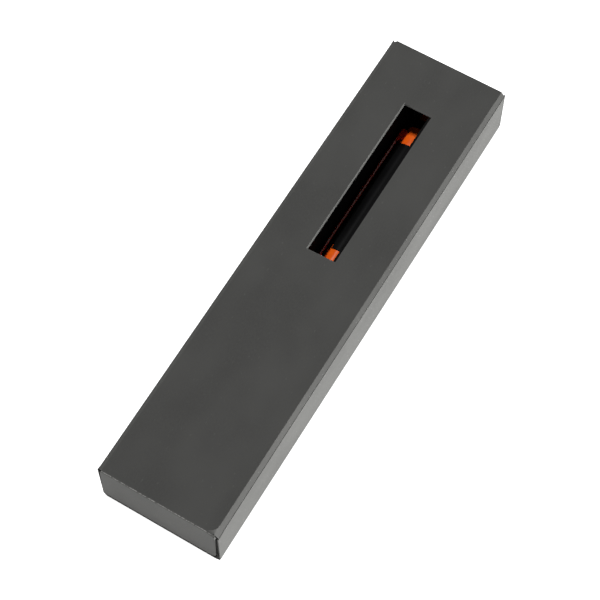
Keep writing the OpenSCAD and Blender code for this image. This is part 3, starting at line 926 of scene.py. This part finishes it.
class PENCARTON_OT_barrels(bpy.types.Operator):
    """Turns the two barrels: the grip with its grooves, and the upper one with the notch for the key"""

    bl_idname = "pen_carton.barrels"
    bl_label = "Barrels"

    def execute(self, context):
        sizes = context.scene.pen_carton.pen
        at = pen_layout(sizes)
        outer, bore, steps = sizes.radius, at.bore, CURVE_STEPS
        grip = [(bore, at.grip), (outer, at.grip)]
        for i in range(sizes.groove_count):
            first = at.grip + sizes.groove_first + i * sizes.groove_pitch
            for j in range(steps + 1):
                sink = sizes.groove_depth * math.sin(math.pi * j / steps) ** 2
                grip.append((outer - sink, first + sizes.groove_width * j / steps))
        grip += [(outer, at.band), (bore, at.band)]
        lower = turned("grip_barrel_turned", grip, sizes)
        tube = [(bore, at.upper), (outer, at.upper), (outer, at.collar), (bore, at.collar)]
        upper = turned("upper_barrel_turned", tube, sizes)
        block = (sizes.key_width + sizes.key_fit, 2 * sizes.key_length + sizes.key_fit, 2 * sizes.wall)
        place = pen_axis() + Vector((0, at.upper, outer))
        carve(upper, "key_notch", place, block, sizes.key_angle)
        for piece, node in ((lower, "pen_grip_barrel"), (upper, "pen_upper_barrel")):
            soften(piece, sizes.edge_break, TURNED_SHARP)
            complete(piece, node, "satin_barrel")
            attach(piece, "pen")
        return {"FINISHED"}


class PENCARTON_OT_orange_rings(bpy.types.Operator):
    """Turns the centre band with its key, and the top collar with the slot for the clip"""

    bl_idname = "pen_carton.orange_rings"
    bl_label = "Orange Rings"

    def execute(self, context):
        sizes = context.scene.pen_carton.pen
        at = pen_layout(sizes)
        axis = pen_axis()
        reach = sizes.spigot
        profile = ring_profile(
            sizes.band_bore, at.band - reach, at.band, at.upper, at.upper + reach, sizes, at
        )
        band = turned("centre_band_turned", profile, sizes)
        half_key = sizes.key_width / 2 / sizes.band_radius

        def on_key(p):
            if abs(p.y - at.upper) > NEAR or math.hypot(p.x - axis.x, p.z - axis.z) < at.spigot:
                return False
            return abs(math.atan2(axis.x - p.x, p.z - axis.z) - sizes.key_angle) < half_key

        set_mode("EDIT")
        pick(band, "faces", on_key)
        pull_faces((0, sizes.key_length, 0))
        set_mode("OBJECT")
        soften(band, sizes.edge_break, TURNED_SHARP)
        profile = ring_profile(
            at.button_bore, at.collar - reach, at.collar, at.cap, at.stub, sizes, at
        )
        collar = turned("top_collar_turned", profile, sizes)
        low, high = clip_foot_ends(sizes)
        sink = sizes.clip_sink + sizes.clip_fit
        block = (sizes.clip_width + 2 * sizes.clip_fit, high - low + 2 * sizes.clip_fit, 2 * sink)
        place = axis + Vector((0, (low + high) / 2, sizes.band_radius))
        carve(collar, "clip_slot", place, block, math.pi / 2 - sizes.clip_angle)
        soften(collar, sizes.edge_break, TURNED_SHARP)
        for piece, node in ((band, "pen_centre_band"), (collar, "pen_top_collar")):
            complete(piece, node, "gloss_orange")
            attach(piece, "pen")
        return {"FINISHED"}


def clip_foot_ends(sizes):
    """The front and rear ends of the clip's foot along the pen."""
    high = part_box("pen_clip")[1].y
    return high - sizes.clip_foot, high


class PENCARTON_OT_end_cap(bpy.types.Operator):
    """Turns the end cap"""

    bl_idname = "pen_carton.end_cap"
    bl_label = "End Cap"

    def execute(self, context):
        sizes = context.scene.pen_carton.pen
        at = pen_layout(sizes)
        crown = sizes.cap_crown
        piece = turned("end_cap_turned", [
            (at.bore, at.cap),
            (sizes.radius, at.cap),
            (sizes.radius, at.cap_end - crown),
            (sizes.radius - crown / 3, at.cap_end - crown / 3),
            (sizes.radius - crown, at.cap_end),
            (at.button_bore, at.cap_end),
            (at.button_bore, at.stub),
            (at.bore, at.stub),
        ], sizes)
        soften(piece, sizes.edge_break, TURNED_SHARP)
        complete(piece, "pen_end_cap", "satin_barrel")
        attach(piece, "pen")
        return {"FINISHED"}


class PENCARTON_OT_push_button(bpy.types.Operator):
    """Turns the push button with its flange and domed end"""

    bl_idname = "pen_carton.push_button"
    bl_label = "Push Button"

    def execute(self, context):
        sizes = context.scene.pen_carton.pen
        at = pen_layout(sizes)
        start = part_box("pen_push_button")[0].y
        flange_end = at.collar - sizes.spigot - sizes.flange_fit
        flange = flange_end - sizes.flange_length
        dome = []
        for i in range(CURVE_STEPS + 1):
            lean = math.pi / 2 * i / CURVE_STEPS
            dome.append((
                sizes.button_radius - sizes.button_dome * (1 - math.cos(lean)),
                at.button_end - sizes.button_dome * (1 - math.sin(lean)),
            ))
        piece = turned("push_button_turned", [
            (0, start),
            (sizes.button_radius, start),
            (sizes.button_radius, flange),
            (sizes.flange_radius, flange),
            (sizes.flange_radius, flange_end),
            (sizes.button_radius, flange_end),
            *dome,
            (0, at.button_end),
        ], sizes)
        soften(piece, sizes.edge_break, TURNED_SHARP)
        complete(piece, "pen_push_button", "gloss_orange")
        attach(piece, "pen_button")
        return {"FINISHED"}


class PENCARTON_OT_clip(bpy.types.Operator):
    """Shapes the clip: a foot, a long flat arm and a pad at its free end"""

    bl_idname = "pen_carton.clip"
    bl_label = "Clip"

    def execute(self, context):
        sizes = context.scene.pen_carton.pen
        foot, end = clip_foot_ends(sizes)
        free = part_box("pen_clip")[0].y
        arm = sizes.radius + sizes.clip_gap
        outer = arm + sizes.clip_thickness
        seat = sizes.band_radius - sizes.clip_sink
        pad = sizes.band_radius + sizes.clip_pad_lift
        turn = sizes.clip_turn
        outline = [
            (foot, seat),
            (foot, arm),
            (free + sizes.clip_pad, arm),
            (free + 0.75 * sizes.clip_pad, pad),
            (free + 0.25 * sizes.clip_pad, pad),
            (free, arm),
            (free, outer - turn),
            (free + turn, outer),
            (end - turn, outer),
            (end, outer - turn),
            (end, seat),
        ]
        corner = pen_axis() - Vector((sizes.clip_width / 2, 0, 0))
        places = [corner + Vector((0, y, z)) for y, z in outline]
        piece = draw_outline("clip_arm", places[0], places[1:], True)
        pick_all()
        bpy.ops.mesh.edge_face_add()
        pull_faces((sizes.clip_width, 0, 0))
        recalculate()
        set_mode("OBJECT")
        soften(piece, sizes.clip_break, SHARP, segments=3)
        turn_about_pen(piece, math.pi / 2 - sizes.clip_angle)
        # The clip gets the darker copy of the orange lacquer, which paints in the shade of the trough
        complete(piece, "pen_clip", "deep_orange")
        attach(piece, "pen_clip")
        return {"FINISHED"}


class PENCARTON_OT_spring(bpy.types.Operator):
    """Winds the return spring."""

    bl_idname = "pen_carton.spring"
    bl_label = "Return Spring"

    def execute(self, context):
        sizes = context.scene.pen_carton.pen
        low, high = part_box("pen_return_spring")
        axis = pen_axis()
        coil = (high.x - low.x) / 2 - sizes.spring_wire
        bpy.ops.object.select_all(action="DESELECT")
        bpy.ops.mesh.primitive_circle_add(vertices=WIRE_SIDES, radius=sizes.spring_wire, location=axis)
        piece = new_piece("return_spring_wound")
        set_mode("EDIT")
        pick_all()
        move((coil, low.y + sizes.spring_wire, 0))
        set_mode("OBJECT")
        modify(
            piece,
            "SCREW",
            axis="Y",
            steps=COIL_STEPS,
            render_steps=COIL_STEPS,
            iterations=sizes.spring_turns,
            screw_offset=(high.y - low.y - 2 * sizes.spring_wire) / sizes.spring_turns,
        )
        apply_transform()
        set_mode("EDIT")
        pick_all()
        bpy.ops.mesh.fill_holes(sides=0)
        recalculate()
        set_mode("OBJECT")
        complete(piece, "pen_return_spring", "drawn_steel")
        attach(piece, "pen")
        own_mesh(piece)
        return {"FINISHED"}


class PENCARTON_OT_refill(bpy.types.Operator):
    """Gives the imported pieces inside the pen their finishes"""

    bl_idname = "pen_carton.refill"
    bl_label = "Refill"

    def execute(self, context):
        for node, finish in (
            ("pen_cam_rotor", "satin_plastic"),
            ("pen_refill_tube", "satin_plastic"),
            ("pen_refill_tip", "turned_brass"),
        ):
            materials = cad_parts[node].data.materials
            materials.clear()
            materials.append(bpy.data.materials[finish])
        return {"FINISHED"}


# Finishes

class Finish:
    """A material in the making: its nodes, its links and its shader."""

    def __init__(self, name, **sockets):
        material = bpy.data.materials.new(name)
        if material.name != name:
            raise RuntimeError(f"another material has the name {name}")
        material.use_nodes = True
        self.nodes = material.node_tree.nodes
        self.links = material.node_tree.links
        self.shader = self.nodes["Principled BSDF"]
        self.place = self.nodes.new("ShaderNodeTexCoord").outputs["Object"]
        for socket, value in sockets.items():
            self.shader.inputs[socket.replace("_", " ")].default_value = value

    def join(self, source, target):
        self.links.new(source, target)

    def grain(self, scale, stretch=(1, 1, 1), detail=3.0):
        """Noise at a scale per metre, stretched by axis."""
        mapping = self.nodes.new("ShaderNodeMapping")
        mapping.inputs["Scale"].default_value = stretch
        noise = self.nodes.new("ShaderNodeTexNoise")
        noise.inputs["Scale"].default_value = scale
        noise.inputs["Detail"].default_value = detail
        self.join(self.place, mapping.inputs["Vector"])
        self.join(mapping.outputs["Vector"], noise.inputs["Vector"])
        return noise.outputs[0]

    def span(self, value, start, end, low=0.0, high=1.0):
        """A value mapped from one range to another."""
        node = self.nodes.new("ShaderNodeMapRange")
        for socket, number in (("From Min", start), ("From Max", end), ("To Min", low), ("To Max", high)):
            node.inputs[socket].default_value = number
        self.join(value, node.inputs["Value"])
        return node.outputs["Result"]

    def product(self, first, second):
        node = self.nodes.new("ShaderNodeMath")
        node.operation = "MULTIPLY"
        for value, socket in ((first, node.inputs[0]), (second, node.inputs[1])):
            if isinstance(value, (int, float)):
                socket.default_value = value
            else:
                self.join(value, socket)
        return node.outputs[0]

    def mixed(self, factor, first, second):
        """A colour between two colours, each a socket or three numbers."""
        node = self.nodes.new("ShaderNodeMix")
        node.data_type = "RGBA"
        self.join(factor, node.inputs[0])
        for value, socket in ((first, node.inputs[6]), (second, node.inputs[7])):
            if isinstance(value, bpy.types.NodeSocket):
                self.join(value, socket)
            else:
                socket.default_value = (*value, 1)
        return node.outputs[2]

    def tinted(self, value, start, end, tone, dark, bright):
        """A tone that goes from a darker to a brighter shade as a value rises."""
        return self.mixed(self.span(value, start, end), shade(tone, dark), shade(tone, bright))

    def relief(self, height, depth, power=1.0, under=None):
        """A bump of a given depth in metres, over another one if there is one."""
        node = self.nodes.new("ShaderNodeBump")
        node.inputs["Strength"].default_value = power
        node.inputs["Distance"].default_value = depth
        self.join(height, node.inputs["Height"])
        if under:
            self.join(under, node.inputs["Normal"])
        return node.outputs["Normal"]

    def mark(self, name):
        node = self.nodes.new("ShaderNodeAttribute")
        node.attribute_name = name
        return node.outputs["Fac"]

    def set(self, socket, value):
        self.join(value, self.shader.inputs[socket])


def shade(tone, factor):
    """A colour made lighter or darker."""
    return tuple(min(1.0, channel * factor) for channel in tone)


def board_finish(name, tone, fleck):
    """Uncoated dyed board: fine fibres, soft mottling, sparse flecks and worn creases."""
    finish = Finish(name, Specular_IOR_Level=0.16, Sheen_Weight=0.03, Sheen_Roughness=0.5)
    fibres = finish.grain(2600, (1, 0.45, 1), 5)
    mottle = finish.grain(150, detail=3)
    cloud = finish.grain(55, (1, 0.6, 1), 2)
    tint = finish.tinted(fibres, 0.3, 0.7, tone, 0.86, 1.14)
    tint = finish.mixed(finish.span(mottle, 0.35, 0.7, 0, 0.3), tint, shade(tone, 0.82))
    tint = finish.mixed(finish.span(cloud, 0.38, 0.64, 0, 0.6), tint, shade(tone, 1.25))
    specks = finish.grain(1150, (1, 0.5, 1), 1)
    tint = finish.mixed(finish.span(specks, 0.7, 0.78, 0, 0.05), tint, fleck)
    strokes = finish.grain(2600, (0.6, 1.6, 1.6), 4)
    worn = finish.product(finish.mark("crease_wear"), finish.span(strokes, 0.42, 0.58))
    finish.set("Base Color", finish.mixed(worn, tint, fleck))
    finish.set("Roughness", finish.span(fibres, 0.3, 0.7, 0.7, 0.88))
    weave = finish.relief(fibres, 0.015 * MM, 0.6)
    finish.set("Normal", finish.relief(mottle, 0.03 * MM, 0.25, weave))


def card_finish(name, tone):
    """Black card of the tray, smoother than the board."""
    finish = Finish(name, Specular_IOR_Level=0.02)
    fibres = finish.grain(2200, (1, 0.3, 1), 4)
    mottle = finish.grain(220, detail=2)
    tint = finish.tinted(fibres, 0.3, 0.7, tone, 0.8, 1.25)
    finish.set("Base Color", finish.mixed(finish.span(mottle, 0.4, 0.7, 0, 0.4), tint, shade(tone, 0.7)))
    finish.set("Roughness", finish.span(fibres, 0.3, 0.7, 0.6, 0.8))
    finish.set("Normal", finish.relief(fibres, 0.01 * MM, 0.5))


def barrel_finish(name, tone):
    """Satin black barrel with fine lines around it from turning."""
    finish = Finish(name, Specular_IOR_Level=0.02)
    lines = finish.grain(900, (0.05, 6, 0.05), 3)
    haze = finish.grain(90, detail=2)
    finish.set("Base Color", finish.tinted(haze, 0.35, 0.65, tone, 0.8, 1.3))
    finish.set("Roughness", finish.span(lines, 0.3, 0.7, 0.34, 0.46))
    finish.set("Normal", finish.relief(lines, 0.002 * MM, 0.5))


def lacquer_finish(name, tone):
    """Lacquer with a faint ripple and a deeper tone in patches."""
    finish = Finish(name, Specular_IOR_Level=0.15, Coat_Weight=0.2, Coat_Roughness=0.06)
    ripple = finish.grain(1400, detail=1)
    cloud = finish.grain(260, detail=2)
    deep = (tone[0] * 0.9, tone[1] * 0.8, tone[2] * 0.8)
    finish.set("Base Color", finish.mixed(finish.span(cloud, 0.35, 0.65), tone, deep))
    finish.set("Roughness", finish.span(cloud, 0.3, 0.7, 0.2, 0.28))
    finish.set("Normal", finish.relief(ripple, 0.0015 * MM, 0.4))


def plastic_finish(name, tone):
    """Moulded plastic with a soft grain."""
    finish = Finish(name, Specular_IOR_Level=0.5, Subsurface_Weight=0.1)
    finish.shader.inputs["Subsurface Radius"].default_value = (0.5 * MM, 0.5 * MM, 0.4 * MM)
    grain = finish.grain(1600, detail=3)
    cloud = finish.grain(180, detail=2)
    finish.set("Base Color", finish.tinted(cloud, 0.3, 0.7, tone, 0.92, 1.04))
    finish.set("Roughness", finish.span(grain, 0.3, 0.7, 0.34, 0.5))
    finish.set("Normal", finish.relief(grain, 0.003 * MM, 0.4))


def metal_finish(name, tone, stretch):
    """Bright metal with lines along or around the piece."""
    finish = Finish(name, Metallic=1.0)
    lines = finish.grain(1500, stretch, 3)
    haze = finish.grain(300, detail=2)
    finish.set("Base Color", finish.tinted(haze, 0.3, 0.7, tone, 0.85, 1.1))
    finish.set("Roughness", finish.span(lines, 0.3, 0.7, 0.22, 0.38))
    finish.set("Normal", finish.relief(lines, 0.002 * MM, 0.5))


class PENCARTON_OT_finishes(bpy.types.Operator):
    """Mixes the finishes of the board, the card and the pen"""

    bl_idname = "pen_carton.finishes"
    bl_label = "Finishes"

    def execute(self, context):
        tones = context.scene.pen_carton.colours
        board_finish("charcoal_board", tones.board, tones.fleck)
        card_finish("black_card", tones.card)
        barrel_finish("satin_barrel", tones.barrel)
        lacquer_finish("gloss_orange", tones.orange)
        # A second, darker copy of the orange lacquer for the clip: painted shade
        lacquer_finish("deep_orange", tones.clip)
        plastic_finish("satin_plastic", tones.plastic)
        metal_finish("turned_brass", tones.brass, (0.1, 5, 0.1))
        metal_finish("drawn_steel", tones.steel, (2, 0.5, 2))
        return {"FINISHED"}


# Stage

def seen_directly(nodes, links):
    """A socket that is 1 for what the camera sees, straight or in a reflection or through glass."""
    path = nodes.new("ShaderNodeLightPath")
    total = path.outputs["Is Camera Ray"]
    for ray in ("Is Glossy Ray", "Is Transmission Ray"):
        highest = nodes.new("ShaderNodeMath")
        highest.operation = "MAXIMUM"
        links.new(total, highest.inputs[0])
        links.new(path.outputs[ray], highest.inputs[1])
        total = highest.outputs[0]
    return total


def light(name, place, aim, across, size, power):
    """A soft rectangular light at a place, turned to its aim, with its width along a direction."""
    bpy.ops.object.select_all(action="DESELECT")
    bpy.ops.object.light_add(type="AREA", location=place)
    lamp = bpy.context.object
    lamp.name = name
    lamp.data.shape = "RECTANGLE"
    lamp.data.size, lamp.data.size_y = size
    lamp.data.energy = power
    back = (Vector(place) - Vector(aim)).normalized()
    up = back.cross(Vector(across)).normalized()
    lamp.rotation_euler = Matrix((up.cross(back), up, back)).transposed().to_euler()
    lamp.visible_camera = False


class PENCARTON_OT_stage(bpy.types.Operator):
    """Sets the floor, the light and the camera"""

    bl_idname = "pen_carton.stage"
    bl_label = "Stage"

    def execute(self, context):
        stage = context.scene.pen_carton.stage
        self.lay_floor(stage)
        self.fill_world(context.scene, stage)
        along, across = AXES["y"], AXES["x"]
        light(
            "key_light",
            place=(0.9, 0.12, 0.075),
            aim=(0, 0, 0.01),
            across=along,
            size=(0.5, 0.13),
            power=stage.key_power,
        )
        light(
            "front_light",
            place=(-0.5, -0.83, 0.09),
            aim=(0, -0.086, 0.01),
            across=across,
            size=(0.3, 0.14),
            power=stage.front_power,
        )
        light(
            "overhead_light",
            place=(-0.24, 0.26, 0.91),
            aim=(0, 0.03, 0.01),
            across=across,
            size=(0.07, 0.14),
            power=stage.over_power,
        )
        self.place_camera(context.scene, stage)
        context.scene.view_settings.view_transform = "Standard"
        return {"FINISHED"}

    def lay_floor(self, stage):
        bpy.ops.object.select_all(action="DESELECT")
        bpy.ops.mesh.primitive_plane_add(size=stage.floor_size, location=(0, 0, -stage.floor_drop))
        floor = bpy.context.object
        floor.name = "floor"
        material = bpy.data.materials.new("pale_floor")
        material.use_nodes = True
        nodes, links = material.node_tree.nodes, material.node_tree.links
        shader = nodes["Principled BSDF"]
        shader.inputs["Base Color"].default_value = (*stage.floor_shade, 1)
        shader.inputs["Roughness"].default_value = 0.9
        shader.inputs["Specular IOR Level"].default_value = 0
        shader.inputs["Emission Color"].default_value = (1, 1, 1, 1)
        glow = nodes.new("ShaderNodeMath")
        glow.operation = "MULTIPLY"
        glow.inputs[1].default_value = stage.floor_glow
        links.new(seen_directly(nodes, links), glow.inputs[0])
        links.new(glow.outputs[0], shader.inputs["Emission Strength"])
        floor.data.materials.append(material)

    def fill_world(self, scene, stage):
        world = bpy.data.worlds.new("studio")
        world.use_nodes = True
        nodes, links = world.node_tree.nodes, world.node_tree.links
        white = nodes["Background"]
        white.inputs["Color"].default_value = (1, 1, 1, 1)
        soft = nodes.new("ShaderNodeBackground")
        soft.inputs["Color"].default_value = (1, 1, 1, 1)
        soft.inputs["Strength"].default_value = stage.ambient
        mix = nodes.new("ShaderNodeMixShader")
        links.new(seen_directly(nodes, links), mix.inputs[0])
        links.new(soft.outputs[0], mix.inputs[1])
        links.new(white.outputs[0], mix.inputs[2])
        links.new(mix.outputs[0], nodes["World Output"].inputs["Surface"])
        scene.world = world

    def place_camera(self, scene, stage):
        flat = math.cos(stage.elevation)
        back = Vector((
            math.sin(stage.azimuth) * flat,
            -math.cos(stage.azimuth) * flat,
            math.sin(stage.elevation),
        ))
        bpy.ops.object.select_all(action="DESELECT")
        bpy.ops.object.camera_add(location=Vector(stage.focus) + back * stage.camera_distance)
        camera = bpy.context.object
        camera.name = "photo_camera"
        camera.rotation_mode = "QUATERNION"
        roll = Matrix.Rotation(stage.roll, 3, "Z").to_quaternion()
        camera.rotation_quaternion = (-back).to_track_quat("-Z", "Y") @ roll
        camera.data.lens = stage.lens
        camera.data.sensor_width = stage.sensor
        camera.data.clip_end = 20
        scene.camera = camera


STEPS = (
    PENCARTON_OT_finishes,
    PENCARTON_OT_top_panel,
    PENCARTON_OT_bottom_panel,
    PENCARTON_OT_side_panels,
    PENCARTON_OT_glue_flap,
    PENCARTON_OT_end_flaps,
    PENCARTON_OT_tuck_tongues,
    PENCARTON_OT_dust_flaps,
    PENCARTON_OT_tray,
    PENCARTON_OT_nose_cone,
    PENCARTON_OT_barrels,
    PENCARTON_OT_orange_rings,
    PENCARTON_OT_end_cap,
    PENCARTON_OT_push_button,
    PENCARTON_OT_clip,
    PENCARTON_OT_spring,
    PENCARTON_OT_refill,
    PENCARTON_OT_stage,
)


class PENCARTON_PT_panel(bpy.types.Panel):
    """Lists the steps of the pen carton"""

    bl_idname = "PENCARTON_PT_panel"
    bl_label = "Pen Carton"
    bl_space_type = "VIEW_3D"
    bl_region_type = "UI"
    bl_category = "Pen Carton"

    def draw(self, context):
        for step in STEPS:
            self.layout.operator(step.bl_idname)


GROUPS = (BoardSizes, TraySizes, PenSizes, FinishColours, StageSettings, CartonSettings)


def register():
    for item in (*GROUPS, *STEPS, PENCARTON_PT_panel):
        bpy.utils.register_class(item)
    bpy.types.Scene.pen_carton = PointerProperty(type=CartonSettings)


def unregister():
    del bpy.types.Scene.pen_carton
    for item in reversed((*GROUPS, *STEPS, PENCARTON_PT_panel)):
        bpy.utils.unregister_class(item)


def main():
    register()
    bpy.ops.pen_carton.finishes()
    bpy.ops.pen_carton.top_panel()
    bpy.ops.pen_carton.bottom_panel()
    bpy.ops.pen_carton.side_panels()
    bpy.ops.pen_carton.glue_flap()
    bpy.ops.pen_carton.end_flaps()
    bpy.ops.pen_carton.tuck_tongues()
    bpy.ops.pen_carton.dust_flaps()
    bpy.ops.pen_carton.tray()
    bpy.ops.pen_carton.nose_cone()
    bpy.ops.pen_carton.barrels()
    bpy.ops.pen_carton.orange_rings()
    bpy.ops.pen_carton.end_cap()
    bpy.ops.pen_carton.push_button()
    bpy.ops.pen_carton.clip()
    bpy.ops.pen_carton.spring()
    bpy.ops.pen_carton.refill()
    bpy.ops.pen_carton.stage()


if __name__ == "__main__":
    main()
